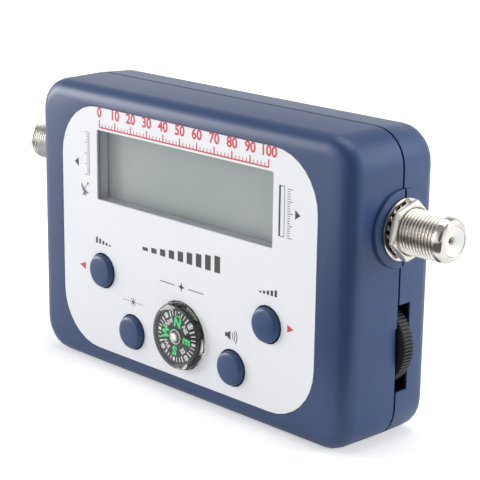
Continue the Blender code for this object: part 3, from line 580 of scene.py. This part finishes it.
def make_washer(side, sign):
    """A lock washer: a flat ring whose inner teeth are each twisted out of its plane."""
    name = f"connector_lock_washer_{side}"
    back, face = reach(name)
    place = about_connector(sign)
    outer, edge = WASHER_RADIUS, WASHER_EDGE
    ring = [(outer - edge, back), (outer, back + edge), (outer, face - edge), (outer - edge, face)]
    ring += [(WASHER_INSIDE, face), (WASHER_INSIDE, back)]
    bm = lathe(ring, place, steps=96, closed=True)
    tooth_pitch = 2 * pi / TEETH
    for k in range(TEETH):
        rows = []
        for radius, twist in TOOTH_TWISTS:
            row = []
            for turn, layer in ((-1, -1), (1, -1), (1, 1), (-1, 1)):
                along = (back + face) / 2 + turn * twist + layer * TOOTH_HALF_THICKNESS
                angle = (k + TOOTH_PHASE + turn * TOOTH_SHARE) * tooth_pitch
                row.append(bm.verts.new(place(along, radius, angle) * MM))
            rows.append(row)
        rod(bm, rows)
    face_outwards(bm)
    washer = piece(f"toothed_{name}", bm, NICKEL, "meter")
    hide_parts(name)


def make_insulator(side, tip, sign):
    """The white plug in the barrel's mouth, with a soft edge and a funnel to its bore."""
    name = f"connector_insulator_{side}"
    inside = reach(name)[0]
    bore, outside = FUNNEL[0][0], FUNNEL[-1][0]
    profile = [(bore, inside), *shifted(FUNNEL, tip - INSULATOR_SINK, -1), (outside, inside)]
    bm = lathe(profile, about_connector(sign), steps=64, closed=True)
    plug = piece(f"funnelled_{name}", bm, WHITE, "meter")
    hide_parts(name)


def make_leaves(side, tip, sign):
    """The socket's two sprung brass leaves, seen in the mouth of the insulator."""
    place = about_connector(sign)
    section = shifted(LEAF_SECTION, tip, -1)
    bm = bmesh.new()
    for middle in LEAF_MIDDLES:
        rows = []
        for angle in evenly(middle - LEAF_HALF_ANGLE, middle + LEAF_HALF_ANGLE, LEAF_STEPS):
            points = [place(along, radius, radians(angle)) for radius, along in section]
            rows.append([bm.verts.new(point * MM) for point in points])
        rod(bm, rows)
    face_outwards(bm)
    piece(f"contact_leaves_{side}", bm, BRASS, "meter")


def make_connector(side, sign, past):
    """One connector's pieces; its rounded nose stands a little past the plain solid's end."""
    tip = reach(f"connector_barrel_{side}")[1] + past
    make_barrel(side, tip, sign)
    make_insulator(side, tip, sign)
    make_leaves(side, tip, sign)
    make_nut(side, sign)
    make_washer(side, sign)


# Buttons: radii, and distances back from the front of the cap

BUTTONS = ("attenuator_left", "light", "buzzer", "attenuator_right")
CAP_CROWN = [(0, 0.0), (1.2, 0.01), (2.2, 0.05), (2.9, 0.11), (3.2, 0.17), (3.42, 0.27), (3.6, 0.42)]
CAP_CROWN += [(3.72, 0.62), (3.8, 0.9)]
CAP_RADIUS = 3.86
CAP_ROOF = 1.4
CAP_FLANGE_Y = -10.2
CAP_FLANGE_RADIUS = 5.0
CAP_FLANGE_EDGE = 0.05
CAP_HOLLOW_RADIUS = 3.0
CAP_STEM_RADIUS = 2.2


def make_cap(name):
    """A button cap with a slightly crowned face and a rounded edge, over its flange."""
    node = f"{name}_button"
    low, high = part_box(node)
    front, back = low[1] / MM, high[1] / MM
    x, z = middle_of(low, high)
    roof = front + CAP_ROOF
    wide, edge = CAP_FLANGE_RADIUS, CAP_FLANGE_EDGE
    side = [(CAP_RADIUS, CAP_FLANGE_Y - 0.1), (CAP_RADIUS + 0.14, CAP_FLANGE_Y)]
    flange = [(wide - edge, CAP_FLANGE_Y), (wide, CAP_FLANGE_Y + edge), (wide, back)]
    hollow = [(CAP_HOLLOW_RADIUS, back), (CAP_HOLLOW_RADIUS, roof)]
    hollow += [(CAP_STEM_RADIUS, roof), (CAP_STEM_RADIUS, back), (0, back)]
    profile = shifted(CAP_CROWN, front) + side + flange + hollow
    cap = piece(f"moulded_{node}", lathe(profile, about_y(x, z)), NAVY_CAP, node)
    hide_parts(node)


# Compass: radii, and distances back from the crown of the dome

COMPASS_X, COMPASS_Z = 0.0, 14.35
DOME_CROWN = [(0, 0.0), (1.6, 0.02), (3.2, 0.09), (4.6, 0.2), (5.6, 0.32), (6.3, 0.46), (6.8, 0.63)]
DOME_CROWN += [(7.15, 0.85), (7.38, 1.12), (7.52, 1.45), (7.58, 1.9)]
DOME_RADIUS, DOME_BACK_Y = 7.58, -12.25
CUP_RADIUS, CUP_FLOOR_Y = 6.73, -10.2

CARD_FACE_Y = -12.9
CARD_INK_Y = CARD_FACE_Y - INK_LIFT
CARD_EDGE = 5.6

# The pivot's polished post stands this far before the plain solid
POST_STAND = 0.3

# The card's north leans this many degrees clockwise
CARD_LEAN = 7.5


def make_capsule():
    """The liquid-filled capsule: one clear body from the cup's floor to the crown of the dome."""
    low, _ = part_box("compass_dome")
    top = low[1] / MM
    cup = [(CUP_RADIUS, DOME_BACK_Y), (CUP_RADIUS, CUP_FLOOR_Y), (0, CUP_FLOOR_Y)]
    profile = shifted(DOME_CROWN, top) + [(DOME_RADIUS, DOME_BACK_Y)] + cup
    bm = lathe(profile, about_y(COMPASS_X, COMPASS_Z), steps=96)
    dome = piece("compass_capsule", bm, ACRYLIC, "meter")
    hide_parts("compass_dome")


def turned_point(radius, angle):
    """A point on the card, at an angle clockwise from the card's north."""
    a = radians(angle + CARD_LEAN)
    return COMPASS_X + radius * sin(a), COMPASS_Z + radius * cos(a)


def radial_block(bm, angle, inner, outer, width):
    """A bar on the card that points to its middle."""
    a = radians(angle + CARD_LEAN)
    along = Vector((sin(a), cos(a)))
    across = Vector((cos(a), -sin(a))) * width / 2
    near = Vector((COMPASS_X, COMPASS_Z)) + along * inner
    far = Vector((COMPASS_X, COMPASS_Z)) + along * outer
    poly(bm, [near - across, near + across, far + across, far - across], CARD_INK_Y)


def add_letters(bm, text, height, at, y, turn=0.0, bold=0.0):
    """A word or number as flat faces, its middle at (x, z), facing the front."""
    capital_share = 0.7
    curve = bpy.data.curves.new("glyph", "FONT")
    curve.body = text
    curve.size = height / capital_share * MM
    curve.align_x = "CENTER"
    curve.align_y = "CENTER"
    curve.resolution_u = 4
    curve.offset = bold * MM
    obj = bpy.data.objects.new("glyph", curve)
    bpy.context.scene.collection.objects.link(obj)
    bpy.context.view_layer.update()
    mesh = bpy.data.meshes.new_from_object(obj.evaluated_get(bpy.context.evaluated_depsgraph_get()))
    place = Matrix.Translation(Vector((at[0], y, at[1])) * MM)
    mesh.transform(place @ Matrix.Rotation(radians(turn), 4, "Y") @ Matrix.Rotation(pi / 2, 4, "X"))
    bm.from_mesh(mesh)
    bpy.data.objects.remove(obj)
    bpy.data.meshes.remove(mesh)


def make_card_art():
    """The compass points and the degree marks, printed on the card."""
    main_ring, main_height = 3.15, 1.95
    between_ring, between_height = 3.45, 1.05
    arrow_foot, arrow_half = 4.5, 8
    green = bmesh.new()
    pale = bmesh.new()
    for letter, angle in (("N", 0), ("E", 90), ("S", 180), ("W", 270)):
        at = turned_point(main_ring, angle)
        add_letters(green, letter, main_height, at, CARD_INK_Y, turn=angle + CARD_LEAN, bold=0.13)
    feet = [turned_point(arrow_foot, angle) for angle in (-arrow_half, arrow_half)]
    poly(green, [*feet, turned_point(CARD_EDGE, 0)], CARD_INK_Y)
    for angle in range(0, 360, 10):
        if angle % 90 == 0:
            inner, width = 4.75, 0.6
        elif angle % 30 == 0:
            inner, width = 4.4, 0.34
        else:
            inner, width = 4.6, 0.22
        radial_block(pale, angle, inner, CARD_EDGE, width)
    for text, angle in (("NE", 45), ("SE", 135), ("SW", 225), ("NW", 315)):
        at = turned_point(between_ring, angle)
        add_letters(pale, text, between_height, at, CARD_INK_Y, turn=angle + CARD_LEAN, bold=0.05)
        radial_block(pale, angle, 4.5, CARD_EDGE + 0.1, 0.5)
    piece("compass_card_letters", green, GREEN_INK, "compass_card")
    piece("compass_card_scale", pale, WHITE_INK, "compass_card")


def make_bearing():
    """The pivot's cap: a polished post that stands out of a thin ring."""
    low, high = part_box("compass_bearing")
    top, seat = low[1] / MM - POST_STAND, high[1] / MM
    at = about_y(COMPASS_X, COMPASS_Z)
    crown = shifted([(0, 0.0), (0.68, 0.02), (0.88, 0.07), (1.0, 0.17), (1.05, 0.32)], top)
    foot = shifted([(1.05, 0.12), (1.1, 0.06), (1.1, 0.0), (0.6, 0.0), (0.6, 0.5), (0, 0.5)], seat, -1)
    post = lathe(crown + foot, at, steps=48)
    cap = piece("compass_pivot_cap", post, CAP_METAL, "compass_card")
    ring = [(1.4, 0.0), (1.36, 0.1), (1.38, 0.24), (1.46, 0.3), (1.62, 0.3), (1.72, 0.22), (1.75, 0.0)]
    collar = lathe(shifted(ring, seat, -1), at, steps=48, closed=True)
    rim = piece("compass_pivot_ring", collar, STEEL, "compass_card")
    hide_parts("compass_bearing")
    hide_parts("compass_bearing")


# Thumbwheel: radii, and distances in from its faces

RIBS = 76
RIB_DEPTH = 0.4

# Share of a rib's pitch, and share of the ribs' depth cut away there
RIB = [(0.0, 0), (0.25, 0), (0.5, 0), (0.64, 1), (0.75, 1), (0.86, 1)]
RIM_CHAMFER = 0.12
RIM_LENGTH = 0.14
WEB_SINK = 0.6
WHEEL_FACE = [(1.8, 0.0), (3.2, 0.0), (3.2, WEB_SINK), (7.6, WEB_SINK), (7.6, 0.0), (8.75, 0.0)]


def make_wheel():
    """The ribbed wheel: flat-topped ribs with sloping flanks, a web and a hub."""
    low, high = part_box("thumbwheel")
    front, back = low[1] / MM, high[1] / MM
    radius = (high[0] - low[0]) / 2 / MM
    x, z = middle_of(low, high)
    place = about_y(x, z)
    angles = [(i + share) / RIBS * 2 * pi for i in range(RIBS) for share, cut in RIB]
    radii = [radius - RIB_DEPTH * cut for i in range(RIBS) for share, cut in RIB]
    narrow = [r - RIM_CHAMFER for r in radii]
    bm = bmesh.new()
    rows = circles(bm, place, shifted(WHEEL_FACE, front), angles)
    rows.append(circle(bm, place, front, narrow, angles))
    rows.append(circle(bm, place, front + RIM_LENGTH, radii, angles))
    rows.append(circle(bm, place, back - RIM_LENGTH, radii, angles))
    rows.append(circle(bm, place, back, narrow, angles))
    rows += circles(bm, place, shifted(reversed(WHEEL_FACE), back, -1), angles)
    skin(bm, rows)
    wheel = piece("ribbed_thumbwheel", bm, WHEEL_BLACK, "thumbwheel", sharp=30)
    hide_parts("thumbwheel")


# Gaskets behind the label and behind the window's pane

GASKET_INSET = 3.4
GASKET_WIDTH = 1.2
GASKET_BULGE = 0.06
FOAM_GAP = 0.02
LABEL_GAP = 0.03


def make_gaskets():
    """Two grey foam frames that close the gaps in front of and behind the window's clear pane."""
    _, label_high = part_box("front_label")
    pane_low, pane_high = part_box("display_window")
    frame_low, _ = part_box("lcd_frame")
    x0, x1 = pane_low[0] / MM + GASKET_INSET, pane_high[0] / MM - GASKET_INSET
    z0, z1 = pane_low[2] / MM + GASKET_INSET, pane_high[2] / MM - GASKET_INSET
    before = (label_high[1] / MM + LABEL_GAP, pane_low[1] / MM - FOAM_GAP)
    behind = (pane_high[1] / MM + FOAM_GAP, frame_low[1] / MM - FOAM_GAP)
    bm = bmesh.new()
    for front, back in (before, behind):
        inner_edge = [(front, GASKET_BULGE), ((front + back) / 2, 0.0), (back, GASKET_BULGE)]
        outer_edge = [(back, -GASKET_WIDTH), (front, -GASKET_WIDTH)]
        rows = []
        for y, inset in inner_edge + outer_edge:
            corners = rectangle(x0 + inset, x1 - inset, z0 + inset, z1 - inset)
            rows.append([bm.verts.new(Vector((x, y, z)) * MM) for x, z in corners])
        skin(bm, rows)
    piece("window_gaskets", bm, GREY, "meter")


# Printing on the label, at x and z in millimetres

FRONT_Y = -12.5
PRINT_Y = FRONT_Y - INK_LIFT


def bar(bm, x0, x1, z0, z1):
    """An upright rectangle on the label."""
    poly(bm, rectangle(x0, x1, z0, z1), PRINT_Y)


def disc(bm, x, z, radius, steps=24):
    """A round dot on the label."""
    poly(bm, [(x + radius * cos(a), z + radius * sin(a)) for a in turns(steps)], PRINT_Y)


def arrow(bm, tip_x, base_x, z, half):
    """A triangle that points left or right."""
    poly(bm, [(tip_x, z), (base_x, z - half), (base_x, z + half)], PRINT_Y)


def band(bm, x, z, radius, width, start, end, steps=12):
    """Part of a ring, as one strip of quads."""
    angles = [radians(a) for a in evenly(start, end, steps)]
    for a, b in zip(angles, angles[1:]):
        corners = []
        for r, angle in ((radius, a), (radius, b), (radius + width, b), (radius + width, a)):
            corners.append((x + r * cos(angle), z + r * sin(angle)))
        poly(bm, corners, PRINT_Y)


def rising_bars(bm, count, x, foot, pitch, width, first, growth):
    """Upright bars, each taller than the one before; a negative pitch lays them to the left."""
    for k in range(count):
        left = x + pitch * k
        bar(bm, left, left + width, foot, foot + first + growth * k)


def tick_scale(bm, x, way, z0, z1, half):
    """An upright scale of 21 ticks to the left (-1) or right (1) of x, every fifth one long."""
    for i, z in enumerate(evenly(z0, z1, 20)):
        length = 1.5 if i % 5 == 0 else 0.8
        bar(bm, x, x + way * length, z - half, z + half)


def make_level_scale(red):
    """The level scale over the window, 0 to 100."""
    x0, x1 = -27.2, 26.2
    line_z, line_width = 56.3, 0.32
    long_tick, short_tick = (58.1, 0.18), (57.35, 0.1)
    number_z, number_height = 59.75, 2.2
    bar(red, x0, x1, line_z, line_z + line_width)
    for i, x in enumerate(evenly(x0, x1, 50)):
        top, half = long_tick if i % 5 == 0 else short_tick
        bar(red, x - half, x + half, line_z + 0.2, top)
    for i, x in enumerate(evenly(x0, x1, 10)):
        add_letters(red, str(i * 10), number_height, (x, number_z), PRINT_Y, bold=0.09)


def make_rule_and_star(dark):
    """Two short rules with a four-pointed star between them, over the compass."""
    x, z = 0.2, 25.4
    points = (1.1, 0.4) * 4
    for x0, x1 in ((-6.8, -2.0), (2.4, 7.3)):
        bar(dark, x0, x1, z - 0.1, z + 0.1)
    star = [(x + r * sin(radians(45 * k)), z + r * cos(radians(45 * k))) for k, r in enumerate(points)]
    poly(dark, star, PRINT_Y)


def make_lamp_mark(dark, x, z):
    """A small sun between two short rows of dots, over the light's button."""
    sun_radius, ray_start, ray_end, ray_half = 0.42, 0.62, 1.02, 0.1
    dot_radius, first_dot, dot_pitch = 0.15, 1.75, 0.7
    middle = Vector((x, z))
    disc(dark, x, z, sun_radius)
    for angle in turns(8):
        out = Vector((cos(angle), sin(angle)))
        half = Vector((-sin(angle), cos(angle))) * ray_half
        near, far = middle + out * ray_start, middle + out * ray_end
        poly(dark, [near - half, far - half, far + half, near + half], PRINT_Y)
    for k in range(3):
        for side in (-1, 1):
            disc(dark, x + side * (first_dot + dot_pitch * k), z, dot_radius, steps=12)


def make_sounder_mark(dark, x, z):
    """A loudspeaker with its waves, over the buzzer's button."""
    cone = [(-1.5, -0.45), (-0.8, -0.45), (0.15, -1.1), (0.15, 1.1), (-0.8, 0.45), (-1.5, 0.45)]
    first_wave, wave_pitch = 0.9, 0.62
    poly(dark, [(x + right, z + up) for right, up in cone], PRINT_Y)
    for k in range(3):
        band(dark, x - 0.1, z, first_wave + wave_pitch * k, width=0.22, start=-40, end=40)


def make_dish_mark(bm, x, z):
    """A small dish seen from the side, tilted to the sky, with its feed arm and its mast."""
    size, half_angle, hollow_depth = 1.8, 72, 0.3
    arm_root, arm_reach, arm_half, feed_radius = 0.9, 0.85, 0.1, 0.3
    mast_back, foot_drop = 1.6, 2.3
    tilt = radians(50)
    middle = Vector((x, z))
    out, across = Vector((cos(tilt), sin(tilt))), Vector((-sin(tilt), cos(tilt)))
    rim = cos(radians(half_angle))
    back, hollow = [], []
    for angle in evenly(-half_angle, half_angle, 12):
        t = radians(angle)
        back.append(middle + (across * sin(t) - out * cos(t)) * size)
        hollow.append(middle + (across * sin(t) - out * (rim + (cos(t) - rim) * hollow_depth)) * size)
    poly(bm, back + hollow[-2:0:-1], PRINT_Y)
    root, feed = middle - out * arm_root, middle + out * arm_reach
    half = across * arm_half
    poly(bm, [root - half, feed - half, feed + half, root + half], PRINT_Y)
    disc(bm, feed.x, feed.y, feed_radius, steps=12)
    mast = middle - out * mast_back
    foot_z = z - foot_drop
    poly(bm, [(mast.x - 0.5, foot_z), (mast.x + 1.1, foot_z), (mast.x + 0.3, mast.y + 0.1)], PRINT_Y)


def make_gauge(dark):
    """An upright gauge beside the window: a solid bar and an open frame along it."""
    left, x0, x1 = 29.3, 29.8, 30.95
    z0, z1 = 42.85, 53.45
    line = 0.15
    bar(dark, left, x0, z0, z1)
    bar(dark, x0, x1, z0, z0 + line)
    bar(dark, x0, x1, z1 - line, z1)
    bar(dark, x1 - line, x1, z0 + line, z1 - line)


def make_side_scales(dark, grey):
    """Upright marks beside the window: ticks and a small dish on the left, a gauge on the right."""
    left_x, z0, z1, half = -31.0, 44.9, 54.7, 0.07
    tick_scale(grey, left_x, -1, z0, z1, half)
    bar(grey, left_x, left_x + 0.15, z0 - half, z1 + half)
    make_dish_mark(grey, -32.1, 42.2)
    make_gauge(dark)
    tick_scale(grey, 31.7, 1, 42.9, 53.0, 0.09)


def make_print():
    """The label's printing, one piece for each ink."""
    red = bmesh.new()
    dark = bmesh.new()
    grey = bmesh.new()
    make_level_scale(red)
    rising_bars(dark, 9, x=-12.6, foot=31.1, pitch=2.9, width=1.75, first=0.8, growth=0.36)
    rising_bars(dark, 5, x=-24.3, foot=29.5, pitch=-1.15, width=0.7, first=0.35, growth=0.27)
    rising_bars(dark, 5, x=24.1, foot=29.8, pitch=1.12, width=0.7, first=0.35, growth=0.27)
    make_rule_and_star(dark)
    make_lamp_mark(dark, -15.9, 18.25)
    make_sounder_mark(dark, 15.6, 18.25)
    arrow(red, tip_x=-34.9, base_x=-32.7, z=23.15, half=0.85)
    arrow(red, tip_x=34.2, base_x=32.4, z=23.95, half=0.85)
    arrow(dark, tip_x=-36.2, base_x=-34.75, z=47.35, half=1.05)
    arrow(dark, tip_x=35.35, base_x=33.9, z=48.1, half=1.0)
    make_side_scales(dark, grey)
    piece("label_print_red", red, RED_INK, "meter")
    piece("label_print_dark", dark, DARK_INK, "meter")
    piece("label_print_grey", grey, GREY_INK, "meter")


# Camera: fitted to edges in the photograph; lengths in millimetres, angles in degrees

PICTURE_PIXELS = 480
CENTRE_COLUMN, CENTRE_ROW = 244.665, 269.658
FOCAL_PIXELS = 1630.416
SENSOR_WIDTH = 36.0
AZIMUTH, ELEVATION, ROLL = 45.602, 16.279, 0.818
AIM = (6.992, 0.0, 28.434)
DISTANCE = 356.624


def heading(azimuth, elevation):
    """A direction from the meter, with the azimuth counted from the front towards +X."""
    a, e = radians(azimuth), radians(elevation)
    return Vector((sin(a) * cos(e), -cos(a) * cos(e), sin(e)))


def set_camera():
    """The photograph's camera, as fitted."""
    back = heading(AZIMUTH, ELEVATION)
    right = (-back).cross(Vector((0, 0, 1))).normalized()
    up = right.cross(-back)
    roll = radians(ROLL)
    across = right * cos(roll) + up * sin(roll)
    above = up * cos(roll) - right * sin(roll)
    camera = bpy.data.cameras.new("camera")
    camera.sensor_width = SENSOR_WIDTH
    camera.lens = FOCAL_PIXELS / PICTURE_PIXELS * SENSOR_WIDTH
    camera.shift_x = -(CENTRE_COLUMN - PICTURE_PIXELS / 2) / PICTURE_PIXELS
    camera.shift_y = (CENTRE_ROW - PICTURE_PIXELS / 2) / PICTURE_PIXELS
    camera.clip_start = 0.01
    camera.clip_end = 10.0
    obj = bpy.data.objects.new("camera", camera)
    bpy.context.scene.collection.objects.link(obj)
    place = Matrix((across, above, back)).transposed().to_4x4()
    place.translation = (Vector(AIM) + back * DISTANCE) * MM
    obj.matrix_world = place
    bpy.context.scene.camera = obj


# Floor, flag, world and lamps, in metres

FLOOR_REACH = 3.0
FLOOR_DROP = 0.0001
FLOOR_GREY = 0.82

# The floor's glow up to a near distance, from a far one on, and in mirrored rays
FLOOR_NEAR, FLOOR_FAR = 0.25, 0.9
FLOOR_GLOW_NEAR, FLOOR_GLOW_FAR = 0.42, 1.0
FLOOR_GLOW_MIRRORED = 0.2

FLAG_HEIGHT = 0.0005
FLAG_GREY = 0.10
FLAG = [(-0.03, -0.055), (-0.08, -0.5), (0.6, -0.5), (0.6, 0.0), (0.14, -0.02)]

WORLD_LIGHT = 0.39
MIDDLE = (0, 0, 0.03)

# What mirrored rays see in a white room: azimuth, elevation, inner and outer angle, and brightness
ROOM = {
    "dark ceiling": (0, 90, 35, 75, 0.30),
    "photographer": (42, 18, 14, 38, 0.10),
    "dark stand at the left": (-45, 13, 4, 12, 0.25),
    "bright patch behind on the right": (136, 32, 8, 30, 2.6),
}


def flat_object(name, corners, z, mat):
    """A flat face through (x, y) corners at a height."""
    mesh = bpy.data.meshes.new(name)
    mesh.from_pydata([(x, y, 0.0) for x, y in corners], [], [tuple(range(len(corners)))])
    mesh.materials.append(mat)
    obj = bpy.data.objects.new(name, mesh)
    obj.location.z = z
    bpy.context.scene.collection.objects.link(obj)
    return obj


def set_floor():
    """A pale floor with a glow that only the camera and mirrored rays see, dimmer near the meter."""
    mat, tree, bsdf = dull("pale_floor", FLOOR_GREY)
    bsdf.inputs["Roughness"].default_value = 0.9
    bsdf.inputs["Emission Color"].default_value = (1, 1, 1, 1)
    distance = add(tree, "VectorMath", operation="LENGTH")
    tree.links.new(add(tree, "TexCoord").outputs["Object"], distance.inputs[0])
    far = smooth_step(tree, distance.outputs["Value"], FLOOR_NEAR, FLOOR_FAR)
    seen = blend(tree, far, FLOOR_GLOW_NEAR, FLOOR_GLOW_FAR)
    tree.links.new(by_ray(tree, 0.0, FLOOR_GLOW_MIRRORED, seen), bsdf.inputs["Emission Strength"])
    corners = rectangle(-FLOOR_REACH, FLOOR_REACH, -FLOOR_REACH, FLOOR_REACH)
    floor = flat_object("floor", corners, -FLOOR_DROP, mat)


def set_flag():
    """A dark card on the floor before the meter, seen by mirrored rays only."""
    flag = flat_object("flag", FLAG, FLAG_HEIGHT, dull("black_felt", FLAG_GREY)[0])
    for ray in ("camera", "diffuse", "transmission", "volume_scatter", "shadow"):
        setattr(flag, f"visible_{ray}", False)


def toward(tree, direction, azimuth, elevation, inner, outer):
    """1 within an inner angle of a heading in the room, falling to 0 at an outer angle."""
    dot = add(tree, "VectorMath", operation="DOT_PRODUCT")
    dot.inputs[1].default_value = heading(azimuth, elevation)
    tree.links.new(direction, dot.inputs[0])
    return smooth_step(tree, dot.outputs["Value"], cos(radians(outer)), cos(radians(inner)))


def set_world():
    """White for the camera and through glass, an even level for lighting, and the room for mirrored rays."""
    world = bpy.data.worlds.new("studio")
    bpy.context.scene.world = world
    world.use_nodes = True
    tree = world.node_tree
    background = tree.nodes["Background"]
    background.inputs["Color"].default_value = (1, 1, 1, 1)
    direction = add(tree, "TexCoord").outputs["Generated"]
    level = 1.0
    for azimuth, elevation, inner, outer, brightness in ROOM.values():
        here = toward(tree, direction, azimuth, elevation, inner, outer)
        level = blend(tree, here, level, brightness)
    tree.links.new(by_ray(tree, WORLD_LIGHT, level, 1.0), background.inputs["Strength"])


def area(name, at, aim, size, power, mirrored=True):
    """A soft box that points at a spot; one that isn't mirrored leaves no reflection."""
    light = bpy.data.lights.new(name, "AREA")
    light.shape = "RECTANGLE"
    light.size, light.size_y = size
    light.energy = power
    obj = bpy.data.objects.new(name, light)
    bpy.context.scene.collection.objects.link(obj)
    obj.visible_glossy = mirrored
    obj.location = at
    obj.rotation_euler = (Vector(aim) - Vector(at)).to_track_quat("-Z", "Y").to_euler()


# The meter

dress_nodes()
make_connector("right", sign=1, past=0.4)
make_connector("left", sign=-1, past=0.2)
for button in BUTTONS:
    make_cap(button)
make_capsule()
make_card_art()
make_bearing()
make_wheel()
make_gaskets()
make_print()

# The stage

set_camera()
set_floor()
set_flag()
set_world()
area("key", at=(-0.55, -0.70, 0.42), aim=MIDDLE, size=(0.7, 0.6), power=1.7)
area("left", at=(-1.19, -0.63, 0.28), aim=MIDDLE, size=(0.84, 0.7), power=12.9)
area("right", at=(0.80, 0.58, 0.28), aim=MIDDLE, size=(0.6, 0.4), power=7.5, mirrored=False)
area("top", at=(0.0, 0.15, 0.95), aim=(0, 0, 0.05), size=(0.8, 0.6), power=4.2)
bpy.context.scene.view_settings.view_transform = "Standard"
